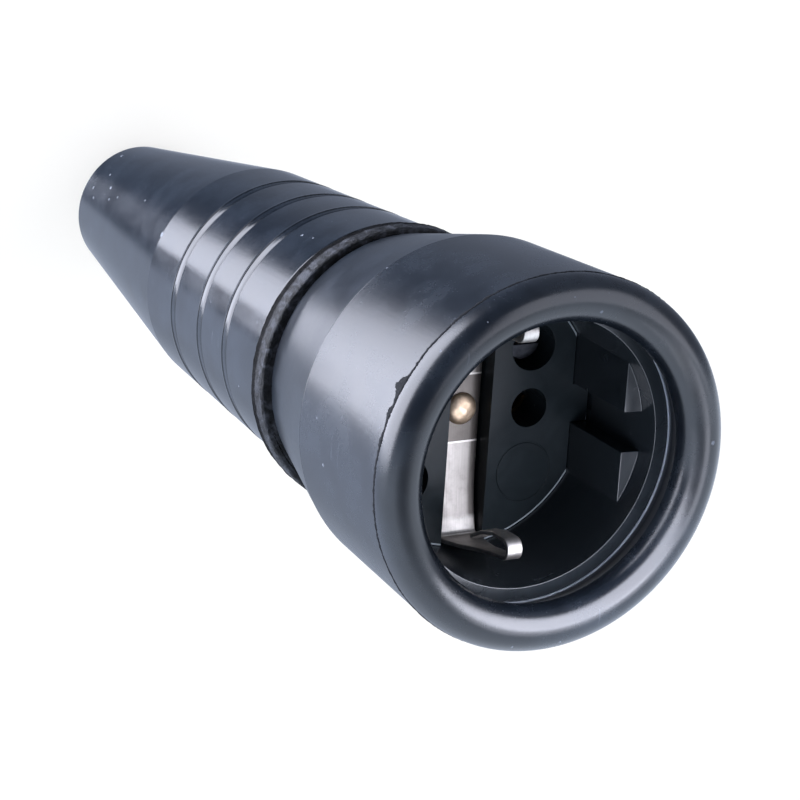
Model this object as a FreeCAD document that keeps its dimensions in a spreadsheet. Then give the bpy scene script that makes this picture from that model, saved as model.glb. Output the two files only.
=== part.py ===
import FreeCAD, Part
import os
import Sketcher

# Inline earthed socket in a two-piece rubber housing. It stands on its tail ring, the mouth up.
# +Z runs out of the mouth, the two pin holes lie on X and the earth strip runs along Y.

V = FreeCAD.Vector
doc = FreeCAD.newDocument("inline_socket")
sheet = doc.addObject("Spreadsheet::Sheet", "Dims")

# Every size is written once here, in millimetres.
SIZES = [
    ("rim_height", 127.0),           # tail end to the rim of the recess
    ("recess_radius", 19.5),         # plug recess, inside
    ("recess_depth", 17.3),          # rim to the face of the contact plate
    ("cup_wall", 1.7),
    ("cup_flange_width", 1.0),       # cup wall to the edge of its flange
    ("cup_flange_height", 5.0),
    ("cup_floor", 2.0),
    ("pad_depth", 2.95),             # recess wall to the flat of the side pads
    ("pad_drop", 3.4),               # rim to the top of the side pads
    ("slot_half", 2.9),              # half width of the slot between two pads
    ("fit_gap", 0.1),                # clearance of seated pieces
    ("plate_thick", 6.0),
    ("pin_offset", 9.5),             # half of the 19 mm pin spacing
    ("pin_hole_radius", 2.85),
    ("key_gap", 0.4),                # recess wall to the end of a key tab
    ("channel_gap", 0.23),           # strip edge to the side of its channel
    ("channel_depth", 3.4),
    ("screw_x", 9.55),
    ("screw_well_radius", 3.45),
    ("screw_well_depth", 5.0),
    ("screw_radius", 1.75),
    ("screw_head_radius", 2.7),
    ("screw_head_height", 2.0),
    ("screw_slot", 0.9),
    ("screw_hole_gap", 0.2),
    ("screw_tip_gap", 0.5),
    ("mark_x", 9.2),
    ("mark_y", 9.4),
    ("mark_radius", 4.45),
    ("mark_line", 0.25),
    ("mark_depth", 0.15),
    ("strip_thick", 0.6),
    ("strip_half", 3.05),
    ("strip_kink", 4.9),             # centre to the faint fold in the strip
    ("strip_rise", 0.35),            # lift of the strip beyond that fold
    ("clip_gap", 0.6),               # recess wall to the back of a clip leg
    ("clip_bend", 1.3),
    ("clip_knee_drop", 14.3),        # rim to the knee where the leg starts to lean
    ("clip_knee", 0.35),
    ("clip_lean", 2.05),
    ("clip_drop", 2.65),             # rim to the top of the clip curl
    ("clip_curl", 1.6),
    ("clip_belly_run", 3.05),        # curl to the belly of the spring leg, then its waist and tip
    ("clip_belly", 0.1),
    ("clip_waist_run", 3.0),
    ("clip_waist", 0.95),
    ("clip_tip_run", 2.4),
    ("clip_tip_back", 2.45),
    ("clip_tip_half", 1.2),
    ("clip_taper_low", 3.5),         # channel floor to the start of the leg's taper
    ("clip_taper_high", 11.0),
    ("rivet_radius", 2.35),
    ("rivet_dome", 1.25),
    ("rivet_shank", 1.5),
    ("rivet_grip", 10.0),
    ("rim_show", 2.05),              # width of the cup rim inside the rubber lip
    ("bead_radius", 3.4),            # section of the rounded lip
    ("bead_offset", 4.05),           # recess wall to the centre of that section
    ("bead_rise", 4.3),              # rim to the centre of that section
    ("crease_drop", 20.5),           # rim to the crease of the front shell
    ("crease_wall", 3.85),
    ("shell_end_drop", 38.7),
    ("shell_end_wall", 3.06),
    ("shell_step", 2.0),             # bore for the neck to the shoulder under the cup
    ("shell_seat_run", 0.8),
    ("flange_proud", 0.95),          # end of the hood to the edge of the collar
    ("flange_thick", 3.6),
    ("flange_gap_front", 0.7),
    ("flange_gap_rear", 0.4),
    ("front_neck_wall", 1.2),
    ("front_neck_step", 2.0),        # top of the contact base to the top of the front neck
    ("neck_step", 0.7),              # front neck to the slimmer rear neck
    ("rear_neck_wall", 1.8),
    ("rear_neck_run", 17.0),         # flange to the end of the rear neck
    ("neck_end_gap", 1.0),
    ("barb", 0.6),                   # snap ring over the necks
    ("barb_run", 2.3),
    ("barb_drop_front", 4.0),        # top of the front neck to its snap ring
    ("barb_offset_rear", 9.4),       # flange to the snap ring of the rear neck
    ("web_below_flange", 2.0),
    ("web_thick", 4.0),
    ("terminal_room", 1.1),          # end of a terminal screw to the chamber wall
    ("seat_ledge", 0.9),             # chamber wall to the wall round the contact base
    ("base_gap", 0.2),               # contact base to the cup floor above it
    ("base_ledge", 7.0),             # web to the ledge under the contact base
    ("wire_hole_radius", 2.4),
    ("bush_radius", 2.4),
    ("bush_cover", 0.91),            # bush to the outside of the rear neck
    ("sleeve_radius", 3.0),
    ("sleeve_bore", 2.45),
    ("sleeve_slit", 0.7),
    ("sleeve_slit_run", 9.5),
    ("terminal_radius", 3.6),
    ("terminal_wire_bore", 1.6),
    ("terminal_wire_run", 3.4),
    ("terminal_wall", 0.8),
    ("terminal_screw_radius", 1.4),
    ("terminal_screw_length", 3.6),
    ("terminal_screw_rise", 1.9),
    ("earth_post_radius", 3.2),
    ("earth_wire_run", 5.5),
    ("ring_thick", 0.6),
    ("ring_height", 1.2),
    ("hood_wall", 3.85),
    ("hood_end_bevel", 0.7),
    ("cone_edge_drop", 42.5),        # end of the hood to the edge of the cone
    ("cone_edge_radius", 17.4),
    ("groove_low_drop", 31.2),       # end of the hood to each groove
    ("groove_mid_drop", 20.9),
    ("groove_high_drop", 11.3),
    ("groove_bevel", 1.7),
    ("groove_depth", 0.7),
    ("groove_floor", 0.3),
    ("tail_radius", 10.3),
    ("tail_round", 0.9),
    ("inlet_radius", 5.5),
    ("inlet_run", 16.0),
    ("hood_throat_rise", 3.9),       # edge of the cone to the wide end of the throat
    ("hood_throat_radius", 14.4),
    ("tongue_half", 10.5),
    ("tongue_back", 9.6),
    ("tongue_top", 2.9),
    ("tongue_run", 25.0),
    ("cord_groove", 5.3),
    ("saddle_half", 10.3),
    ("saddle_top", 7.0),
    ("saddle_run", 7.5),
    ("saddle_lift", 1.5),
    ("clamp_screw_x", 7.6),
    ("clamp_screw_radius", 1.45),
    ("clamp_screw_depth", 8.8),
    ("clamp_head_radius", 2.7),
    ("clamp_head_height", 1.9),
]


class Size:
    """A length that keeps its sheet expression beside its present value."""

    def __init__(self, text, value):
        self.text, self.value = text, value

    @staticmethod
    def of(other):
        return other if isinstance(other, Size) else Size(repr(float(other)), float(other))

    def _join(self, other, sign, value):
        return Size("(%s %s %s)" % (self.text, sign, Size.of(other).text), value)

    def __add__(self, other):
        return self._join(other, "+", self.value + Size.of(other).value)

    def __sub__(self, other):
        return self._join(other, "-", self.value - Size.of(other).value)

    def __mul__(self, other):
        return self._join(other, "*", self.value * Size.of(other).value)

    def __truediv__(self, other):
        return self._join(other, "/", self.value / Size.of(other).value)

    def __neg__(self):
        return Size("(0 - %s)" % self.text, -self.value)

    def root(self):
        return Size("sqrt(%s)" % self.text, self.value ** 0.5)


class Names:
    pass


d = Names()
for row, (alias, number) in enumerate(SIZES, start=1):
    sheet.set("A%d" % row, alias)
    sheet.set("B%d" % row, str(number))
    sheet.setAlias("B%d" % row, alias)
    setattr(d, alias, Size("Dims.%s" % alias, number))
doc.recompute()

ZERO = Size.of(0)
count = [0]


def new(kind, label=None):
    count[0] += 1
    obj = doc.addObject(kind, "f%03d" % count[0])
    if label:
        obj.Label = label
    return obj


def bind(obj, **props):
    for name, size in props.items():
        obj.setExpression(name, Size.of(size).text)


def place(obj, x, y, z, rotation=None):
    obj.Placement = FreeCAD.Placement(V(0, 0, 0), rotation or FreeCAD.Rotation())
    for axis, size in zip("xyz", (x, y, z)):
        obj.setExpression("Placement.Base." + axis, Size.of(size).text)


def cylinder(radius, z0, z1, x=ZERO, y=ZERO, label=None):
    obj = new("Part::Cylinder", label)
    bind(obj, Radius=radius, Height=Size.of(z1) - z0)
    place(obj, x, y, z0)
    return obj


def bar(radius, start, length, rotation):
    """A round bar from a start point along the turned Z axis."""
    obj = new("Part::Cylinder")
    bind(obj, Radius=radius, Height=length)
    place(obj, *start, rotation)
    return obj


def block(x0, x1, y0, y1, z0, z1):
    obj = new("Part::Box")
    bind(obj, Length=Size.of(x1) - x0, Width=Size.of(y1) - y0, Height=Size.of(z1) - z0)
    place(obj, x0, y0, z0)
    return obj


def fuse(items, label=None):
    obj = new("Part::MultiFuse", label)
    obj.Shapes = items
    obj.Refine = True
    return obj


def common(items, label=None):
    obj = new("Part::MultiCommon", label)
    obj.Shapes = items
    return obj


def cut(base, tools, label=None):
    obj = new("Part::Cut", label)
    obj.Base = base
    obj.Tool = tools[0] if len(tools) == 1 else fuse(tools)
    return obj


def half_turn(source):
    """The same piece turned half round the axis."""
    obj = new("Part::Compound")
    obj.Links = [source]
    obj.Placement = FreeCAD.Placement(V(0, 0, 0), FreeCAD.Rotation(V(0, 0, 1), 180))
    return obj


def arc_centre(p, q, radius, side):
    """Centre of the arc from p to q, left of its run for side 1 and right for side -1."""
    dx, dy = q[0] - p[0], q[1] - p[1]
    run = (dx * dx + dy * dy) ** 0.5
    lift = max(radius * radius - run * run / 4, 0.0) ** 0.5
    return (p[0] + q[0]) / 2 - side * lift * dy / run, (p[1] + q[1]) / 2 + side * lift * dx / run


def outline(points, rotation):
    """A closed sketch whose corners are tied to sizes.

    Each point is (across, up), or (across, up, radius, side) where an arc leads to the next one.
    """
    sk = new("Sketcher::SketchObject")
    sk.Placement = FreeCAD.Placement(V(0, 0, 0), rotation)
    n = len(points)
    flat = [(Size.of(p[0]).value, Size.of(p[1]).value) for p in points]
    ends = []
    for i, p in enumerate(points):
        a, b = flat[i], flat[(i + 1) % n]
        if len(p) == 2:
            sk.addGeometry(Part.LineSegment(V(a[0], a[1], 0), V(b[0], b[1], 0)), False)
            ends.append((1, 2))
            continue
        radius, side = p[2], p[3]
        c = arc_centre(a, b, radius.value, side)
        first, last = (a, b) if side > 0 else (b, a)
        mid = V(first[0] + last[0] - 2 * c[0], first[1] + last[1] - 2 * c[1], 0)
        mid.normalize()
        top = V(c[0], c[1], 0) + mid * radius.value
        sk.addGeometry(Part.Arc(V(first[0], first[1], 0), top, V(last[0], last[1], 0)), False)
        ends.append((1, 2) if side > 0 else (2, 1))
    for i in range(n):
        j = (i + 1) % n
        sk.addConstraint(Sketcher.Constraint("Coincident", i, ends[i][1], j, ends[j][0]))
    for i, p in enumerate(points):
        for kind, size in (("DistanceX", p[0]), ("DistanceY", p[1])):
            size = Size.of(size)
            k = sk.addConstraint(Sketcher.Constraint(kind, -1, 1, i, ends[i][0], size.value))
            sk.setExpression("Constraints[%d]" % k, size.text)
        if len(p) > 2:
            k = sk.addConstraint(Sketcher.Constraint("Radius", i, p[2].value))
            sk.setExpression("Constraints[%d]" % k, p[2].text)
    return sk


UPRIGHT = FreeCAD.Rotation(V(1, 0, 0), 90)                       # sketch across is X, up is Z
SIDEWAYS = FreeCAD.Rotation(V(0, 0, 1), 90) * UPRIGHT            # sketch across is Y, up is Z


def turned(points, label=None):
    obj = new("Part::Revolution", label)
    obj.Source = outline(points, UPRIGHT)
    obj.Axis, obj.Base, obj.Angle, obj.Solid = V(0, 0, 1), V(0, 0, 0), 360.0, True
    return obj


def swept(points, rotation, width):
    """A flat outline thickened evenly on both sides of its plane."""
    obj = new("Part::Extrusion")
    obj.Base = outline(points, rotation)
    obj.DirMode = "Normal"
    obj.Solid = True
    obj.Symmetric = True
    bind(obj, LengthFwd=width)
    return obj


# Levels along the axis that several pieces share.
rim = d.rim_height
face = rim - d.recess_depth
plate_low = face - d.plate_thick
floor_low = plate_low - d.cup_floor
channel_floor = face - d.channel_depth
shell_end = rim - d.shell_end_drop
flange_high = shell_end - d.flange_gap_front
flange_low = flange_high - d.flange_thick
hood_end = flange_low - d.flange_gap_rear
web_low = flange_low - d.web_below_flange
web_high = web_low + d.web_thick
base_low = web_high + d.base_ledge
base_high = floor_low - d.base_gap
neck_low = flange_low - d.rear_neck_run
neck_high = base_high - d.front_neck_step
bead_z = rim + d.bead_rise
gap = d.fit_gap
cone_edge = hood_end - d.cone_edge_drop

# Radii that several pieces share, each from the one inside it. The chamber clears the terminal
# screws, the necks enclose the chamber and the shell and the hood go round the necks.
grub_seat = d.terminal_wire_bore * 0.5
chamber_r = d.pin_offset + grub_seat + d.terminal_screw_length + d.terminal_room
seat_r = chamber_r + d.seat_ledge
front_neck = seat_r + d.front_neck_wall
rear_neck = front_neck - d.neck_step
rear_cavity = rear_neck - d.rear_neck_wall
shell_bore = front_neck + gap
hood_bore = rear_neck + gap
hood_r = hood_bore + d.hood_wall
flange_r = hood_r + d.flange_proud
cup_out = d.recess_radius + d.cup_wall
cup_bore = cup_out + gap
cup_flange = cup_out + d.cup_flange_width
pad_flat = d.recess_radius - d.pad_depth
channel_half = d.strip_half + d.channel_gap
screw_circle = rear_neck - d.bush_cover - d.bush_radius
screw_y = (screw_circle * screw_circle - d.screw_x * d.screw_x).root()

# Front shell: one rubber moulding. A rounded lip stands round the mouth, a crease parts the
# cylinder from the tapered rear section, and the bore holds the recess cup under the lip.
flange_bore = cup_flange + gap
bead_ring = d.recess_radius + d.bead_offset
bead_in = bead_ring - d.bead_radius
lean = d.bead_radius * 0.7071
barb_high = neck_high - d.barb_drop_front
barb_low = barb_high - d.barb_run
turned([
    (shell_bore, shell_end),
    (shell_bore + d.shell_end_wall, shell_end),
    (cup_bore + d.crease_wall, rim - d.crease_drop),
    (bead_ring + d.bead_radius, bead_z, d.bead_radius, 1),
    (bead_ring, bead_z + d.bead_radius, d.bead_radius, 1),
    (bead_in, bead_z, d.bead_radius, 1),
    (bead_ring - lean, bead_z - lean),
    (d.recess_radius + d.rim_show, rim + gap),
    (flange_bore, rim + gap),
    (flange_bore, rim - d.cup_flange_height - gap),
    (cup_bore, rim - d.cup_flange_height - gap),
    (cup_bore, floor_low - gap),
    (shell_bore + d.shell_step, floor_low - gap),
    (shell_bore, barb_high + d.barb + gap + d.shell_seat_run),
    (shell_bore, barb_high + d.barb + gap),
    (shell_bore + d.barb, barb_high + gap),
    (shell_bore + d.barb, barb_low - gap),
    (shell_bore, barb_low - d.barb - gap),
], "front_shell")

# Rear hood: the second rubber moulding. Four bands step up towards the joint, each one ending
# in a bevel and a sharp groove, and a plain cone runs down to the cord inlet at the tail.
ring_high = flange_low - d.barb_offset_rear
ring_low = ring_high - d.barb_run


def band(z):
    """Radius of the banded part at one height."""
    slope = (hood_r - d.cone_edge_radius) / d.cone_edge_drop
    return d.cone_edge_radius + (z - cone_edge) * slope


hood = [
    (d.inlet_radius, ZERO),
    (d.tail_radius - d.tail_round, ZERO, d.tail_round, 1),
    (d.tail_radius, d.tail_round),
    (d.cone_edge_radius, cone_edge),
]
for drop in (d.groove_low_drop, d.groove_mid_drop, d.groove_high_drop):
    groove = hood_end - drop
    hood += [
        (band(groove - d.groove_bevel), groove - d.groove_bevel),
        (band(groove) - d.groove_depth, groove - d.groove_floor),
        (band(groove) - d.groove_depth, groove),
        (band(groove), groove + d.groove_floor * 0.5),
    ]
hood += [
    (band(hood_end - d.hood_end_bevel), hood_end - d.hood_end_bevel),
    (hood_r - d.hood_end_bevel, hood_end),
    (hood_bore, hood_end),
    (hood_bore, ring_high + d.barb + gap),
    (hood_bore + d.barb, ring_high + gap),
    (hood_bore + d.barb, ring_low - gap),
    (hood_bore, ring_low - d.barb - gap),
    (hood_bore, neck_low - d.neck_end_gap),
    (d.hood_throat_radius, cone_edge + d.hood_throat_rise),
    (d.inlet_radius, d.inlet_run),
]
turned(hood, "rear_hood")

# Joint collar: hard moulding between the two rubber pieces. Its flange shows as the dark ring,
# its two necks snap into the shell and the hood, and its web closes the terminal chamber.
collar_ring = turned([
    (d.wire_hole_radius, web_low),
    (rear_cavity, web_low),
    (rear_cavity, neck_low),
    (rear_neck, neck_low),
    (rear_neck, ring_low - d.barb),
    (rear_neck + d.barb, ring_low),
    (rear_neck + d.barb, ring_high),
    (rear_neck, ring_high + d.barb),
    (rear_neck, flange_low),
    (flange_r, flange_low),
    (flange_r, flange_high),
    (front_neck, flange_high),
    (front_neck, barb_low - d.barb),
    (front_neck + d.barb, barb_low),
    (front_neck + d.barb, barb_high),
    (front_neck, barb_high + d.barb),
    (front_neck, neck_high),
    (seat_r, neck_high),
    (seat_r, base_low),
    (chamber_r, base_low),
    (chamber_r, web_high),
    (d.wire_hole_radius, web_high),
])
tongue_low = web_low - d.tongue_run
tongue = cut(
    block(-d.tongue_half, d.tongue_half, -d.tongue_back, -d.tongue_top, tongue_low, web_low),
    [cylinder(d.cord_groove, tongue_low, web_low)])
saddle_low = tongue_low + d.saddle_lift
saddle_mid = saddle_low + d.saddle_run / 2
TO_Y = FreeCAD.Rotation(V(1, 0, 0), -90)
screw_tip = (-d.clamp_screw_depth - gap)
tongue_holes = [
    bar(d.clamp_screw_radius + gap / 2, (x, screw_tip, saddle_mid), d.clamp_screw_depth, TO_Y)
    for x in (d.clamp_screw_x, -d.clamp_screw_x)]
collar_holes = [cylinder(d.wire_hole_radius, web_low, web_high, x) for x in (d.pin_offset, -d.pin_offset)]
collar_holes += [
    cylinder(d.bush_radius + gap / 2, web_low + gap, web_high, d.screw_x, screw_y),
    cylinder(d.bush_radius + gap / 2, web_low + gap, web_high, -d.screw_x, -screw_y)]
cut(fuse([collar_ring, tongue]), collar_holes + tongue_holes, "joint_collar")

# Recess cup: hard glossy moulding with a flange under the lip. Two slotted pads on each side
# guide the plug, and the floor carries the contact plate.
hole_r = d.screw_radius + d.screw_hole_gap
ring_out = d.sleeve_radius + gap / 2 + d.ring_thick
cup_ring = turned([
    (d.rivet_shank + gap, floor_low),
    (cup_out, floor_low),
    (cup_out, rim - d.cup_flange_height),
    (cup_flange, rim - d.cup_flange_height),
    (cup_flange, rim),
    (d.recess_radius, rim),
    (d.recess_radius, plate_low),
    (d.rivet_shank + gap, plate_low),
])
into_wall = d.recess_radius + d.cup_wall / 2
pads = common([
    cylinder(into_wall, plate_low, rim - d.pad_drop),
    fuse([
        block(sx0, sx1, sy0, sy1, plate_low, rim - d.pad_drop)
        for sx0, sx1 in ((pad_flat, into_wall), (-into_wall, -pad_flat))
        for sy0, sy1 in ((d.slot_half, into_wall), (-into_wall, -d.slot_half))])])
cup_holes = [cylinder(ring_out + gap, floor_low, plate_low, x) for x in (d.pin_offset, -d.pin_offset)]
cup_holes += [
    cylinder(hole_r, floor_low, plate_low, d.screw_x, screw_y),
    cylinder(hole_r, floor_low, plate_low, -d.screw_x, -screw_y)]
cut(fuse([cup_ring, pads]), cup_holes, "recess_cup")

# Contact plate: hard moulding with two flats and a key tab on each, so it sits in the pads'
# slots. A channel across it takes the earth strip.
plate_r = d.recess_radius - gap
plate_disc = common([
    cylinder(plate_r, plate_low, face),
    block(-pad_flat + gap, pad_flat - gap, -plate_r, plate_r, plate_low, face)])
key_reach = d.recess_radius - d.key_gap
keys = block(-key_reach, key_reach, -d.slot_half + gap, d.slot_half - gap, plate_low, face)
well_floor = face - d.screw_well_depth
plate_cuts = [
    block(-channel_half, channel_half, -d.recess_radius, d.recess_radius, channel_floor, face),
    cylinder(d.rivet_shank + gap, plate_low, face)]
for s in (1, -1):
    plate_cuts += [
        cylinder(d.pin_hole_radius, plate_low, face, d.pin_offset * s),
        cylinder(d.screw_well_radius, well_floor, face, d.screw_x * s, screw_y * s),
        cylinder(hole_r, plate_low, face, d.screw_x * s, screw_y * s),
        cut(cylinder(d.mark_radius, face - d.mark_depth, face, d.mark_x * s, d.mark_y * -s),
            [cylinder(d.mark_radius - d.mark_line, face - d.mark_depth, face, d.mark_x * s, d.mark_y * -s)])]
cut(fuse([plate_disc, keys]), plate_cuts, "contact_plate")

# Earth strip: one folded strip of nickelled brass. It lies in the channel, and at each end a
# tapered tongue stands up along the wall and curls over into a hairpin spring.
t = d.strip_thick
strip_low = channel_floor
high = strip_low + d.strip_rise
back = d.recess_radius - d.clip_gap
knee, knee_z = back - d.clip_knee, rim - d.clip_knee_drop
curl_z = rim - d.clip_drop - d.clip_curl
lean_back = back - d.clip_lean
in_curl = d.clip_curl - t
nose = lean_back - d.clip_curl * 2
belly, belly_z = nose + d.clip_belly, curl_z - d.clip_belly_run
waist, waist_z = nose + d.clip_waist, belly_z - d.clip_waist_run
tip, tip_z = nose + d.clip_tip_back, waist_z - d.clip_tip_run
half_strip = [
    (ZERO, strip_low),
    (d.strip_kink, strip_low),
    (back - d.clip_bend, high, d.clip_bend, 1),
    (back, high + d.clip_bend),
    (knee, knee_z),
    (lean_back, curl_z, d.clip_curl, 1),
    (lean_back - d.clip_curl, curl_z + d.clip_curl, d.clip_curl, 1),
    (nose, curl_z),
    (belly, belly_z),
    (waist, waist_z),
    (tip, tip_z),
    (tip + t * 0.85, tip_z + t * 0.53),
    (waist + t * 0.92, waist_z + t * 0.41),
    (belly + t, belly_z + t * 0.13),
    (nose + t, curl_z, in_curl, -1),
    (lean_back - d.clip_curl, curl_z + in_curl, in_curl, -1),
    (lean_back - t, curl_z),
    (knee - t, knee_z),
    (back - t, high + d.clip_bend, d.clip_bend - t, -1),
    (back - d.clip_bend, high + t),
    (d.strip_kink, strip_low + t),
    (ZERO, strip_low + t),
]
one_side = swept(half_strip, SIDEWAYS, d.strip_half * 2)
other_side = half_turn(one_side)
low_taper, high_taper = strip_low + d.clip_taper_low, strip_low + d.clip_taper_high
mask = swept([
    (-d.strip_half, strip_low), (d.strip_half, strip_low), (d.strip_half, low_taper),
    (d.clip_tip_half, high_taper), (d.clip_tip_half, rim), (-d.clip_tip_half, rim),
    (-d.clip_tip_half, high_taper), (-d.strip_half, low_taper)], UPRIGHT, back * 2)
cut(common([fuse([one_side, other_side]), mask]),
    [cylinder(d.rivet_shank + gap, strip_low, strip_low + t)], "earth_strip")

# Earth rivet: domed brass rivet through strip, plate and cup floor into the earth post.
strip_top = strip_low + t
ball = (d.rivet_radius * d.rivet_radius + d.rivet_dome * d.rivet_dome) / (d.rivet_dome * 2)
dome = new("Part::Sphere")
bind(dome, Radius=ball)
place(dome, ZERO, ZERO, strip_top + d.rivet_dome - ball)
head = common([dome, cylinder(d.rivet_radius, strip_top, strip_top + d.rivet_dome)])
fuse([head, cylinder(d.rivet_shank, strip_top - d.rivet_grip, strip_top)], "earth_rivet")

# Contact base: insulating block on the collar's ledge that holds the two pin sleeves apart.
cut(cylinder(seat_r - gap, base_low, base_high),
    [cylinder(d.sleeve_radius + gap, base_low, base_high, x) for x in (d.pin_offset, -d.pin_offset)]
    + [cylinder(d.earth_post_radius + gap, base_low, base_high),
       cylinder(hole_r, base_low, base_high, d.screw_x, screw_y),
       cylinder(hole_r, base_low, base_high, -d.screw_x, -screw_y)], "contact_base")

# Pin contacts: turned brass sleeves, slit at the front, with a wire hole and a grub screw at the
# back. A steel ring closes each slit end on the pin.
post_low = web_high + gap
sleeve_high = plate_low - gap
shoulder = base_low - gap
pin_floor = post_low + d.terminal_wire_run + d.terminal_wall
screw_z = post_low + d.terminal_screw_rise
TO_X = FreeCAD.Rotation(V(0, 1, 0), 90)
FROM_X = FreeCAD.Rotation(V(0, 1, 0), -90)


def contact(side, word):
    x = d.pin_offset * side
    body = fuse([
        cylinder(d.terminal_radius, post_low, shoulder, x),
        cylinder(d.sleeve_radius, post_low, sleeve_high, x)])
    slit = block(x - d.sleeve_radius, x + d.sleeve_radius, -d.sleeve_slit / 2, d.sleeve_slit / 2,
                 sleeve_high - d.sleeve_slit_run, sleeve_high)
    turn = TO_X if side > 0 else FROM_X
    seat = x + grub_seat * side
    grub_hole = bar(d.terminal_screw_radius + gap / 2, (x, ZERO, screw_z), d.terminal_radius, turn)
    cut(body, [
        cylinder(d.sleeve_bore, pin_floor, sleeve_high, x), slit, grub_hole,
        cylinder(d.terminal_wire_bore, post_low, post_low + d.terminal_wire_run, x)], word + "_contact")
    grub = bar(d.terminal_screw_radius, (seat, ZERO, screw_z), d.terminal_screw_length, turn)
    end = seat + d.terminal_screw_length * side
    near = end - d.screw_slot * side
    x0, x1 = (near, end) if side > 0 else (end, near)
    nick = block(x0, x1, -d.screw_slot / 4, d.screw_slot / 4,
                 screw_z - d.terminal_screw_radius, screw_z + d.terminal_screw_radius)
    cut(grub, [nick], word + "_terminal_screw")
    ring_low_z = floor_low + (d.cup_floor - d.ring_height) / 2
    cut(cylinder(ring_out, ring_low_z, ring_low_z + d.ring_height, x),
        [cylinder(d.sleeve_radius + gap / 2, ring_low_z, ring_low_z + d.ring_height, x)],
        word + "_spring_ring")


contact(1, "line")
contact(-1, "neutral")

# Earth post: turned brass terminal under the cup floor, held by the rivet.
rivet_end = strip_top - d.rivet_grip
cut(cylinder(d.earth_post_radius, post_low, floor_low - gap), [
    cylinder(d.rivet_shank + gap / 2, rivet_end - gap, floor_low - gap),
    cylinder(d.terminal_wire_bore, post_low, post_low + d.earth_wire_run),
    bar(d.terminal_screw_radius + gap / 2, (ZERO, ZERO, screw_z), d.earth_post_radius, TO_Y)],
    "earth_terminal")
earth_end = grub_seat + d.terminal_screw_length
cut(bar(d.terminal_screw_radius, (ZERO, grub_seat, screw_z), d.terminal_screw_length, TO_Y),
    [block(-d.screw_slot / 4, d.screw_slot / 4, earth_end - d.screw_slot, earth_end,
           screw_z - d.terminal_screw_radius, screw_z + d.terminal_screw_radius)],
    "earth_terminal_screw")

# Insert screws: two long slotted screws in the plate's wells. They clamp plate, cup and base to
# the threaded bushes in the collar's web.
for s, word in ((1, "upper"), (-1, "lower")):
    x, y = d.screw_x * s, screw_y * s
    head_top = well_floor + d.screw_head_height
    nick = block(x - d.screw_head_radius, x + d.screw_head_radius, y - d.screw_slot / 2, y + d.screw_slot / 2,
                 head_top - d.screw_slot, head_top)
    body = fuse([
        cylinder(d.screw_radius, web_low + d.screw_tip_gap, well_floor, x, y),
        cylinder(d.screw_head_radius, well_floor, head_top, x, y)])
    cut(body, [nick], word + "_insert_screw")
    cut(cylinder(d.bush_radius, web_low + gap, web_high, x, y),
        [cylinder(d.screw_radius + gap / 2, web_low + gap, web_high, x, y)], word + "_thread_bush")

# Cord clamp: a saddle across the tongue, held by two slotted screws.
saddle_under = -d.tongue_top + gap
saddle_block = block(-d.saddle_half, d.saddle_half, saddle_under, d.saddle_top,
                     saddle_low, saddle_low + d.saddle_run)
saddle_cuts = [cylinder(d.cord_groove, saddle_low, saddle_low + d.saddle_run)]
for x in (d.clamp_screw_x, -d.clamp_screw_x):
    saddle_cuts.append(bar(d.clamp_screw_radius + d.screw_hole_gap, (x, saddle_under, saddle_mid),
                           d.saddle_top - saddle_under, TO_Y))
cut(saddle_block, saddle_cuts, "clamp_saddle")
for x, word in ((d.clamp_screw_x, "right"), (-d.clamp_screw_x, "left")):
    top = d.saddle_top + d.clamp_head_height
    body = fuse([
        bar(d.clamp_screw_radius, (x, -d.clamp_screw_depth, saddle_mid),
            d.clamp_screw_depth + d.saddle_top, TO_Y),
        bar(d.clamp_head_radius, (x, d.saddle_top, saddle_mid), d.clamp_head_height, TO_Y)])
    nick = block(x - d.clamp_head_radius, x + d.clamp_head_radius, top - d.screw_slot, top,
                 saddle_mid - d.screw_slot / 2, saddle_mid + d.screw_slot / 2)
    cut(body, [nick], word + "_clamp_screw")

NODES = [
    "front_shell", "rear_hood", "joint_collar", "recess_cup", "contact_plate", "contact_base",
    "earth_strip", "earth_rivet", "earth_terminal", "earth_terminal_screw",
    "line_contact", "line_spring_ring", "line_terminal_screw",
    "neutral_contact", "neutral_spring_ring", "neutral_terminal_screw",
    "upper_insert_screw", "upper_thread_bush", "lower_insert_screw", "lower_thread_bush",
    "clamp_saddle", "left_clamp_screw", "right_clamp_screw",
]

doc.recompute()
for obj in doc.Objects:
    if "Invalid" in obj.State or "Error" in obj.State:
        raise RuntimeError("%s did not build" % obj.Label)
os.makedirs("parts", exist_ok=True)
for node in NODES:
    shape = doc.getObjectsByLabel(node)[0].Shape
    if shape.isNull() or not shape.isValid() or not shape.Solids:
        raise RuntimeError("%s has no sound solid" % node)
    shape.exportStep("parts/%s.step" % node)
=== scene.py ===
import bmesh
import bpy
import numpy as np
from mathutils import Matrix, Vector


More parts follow.
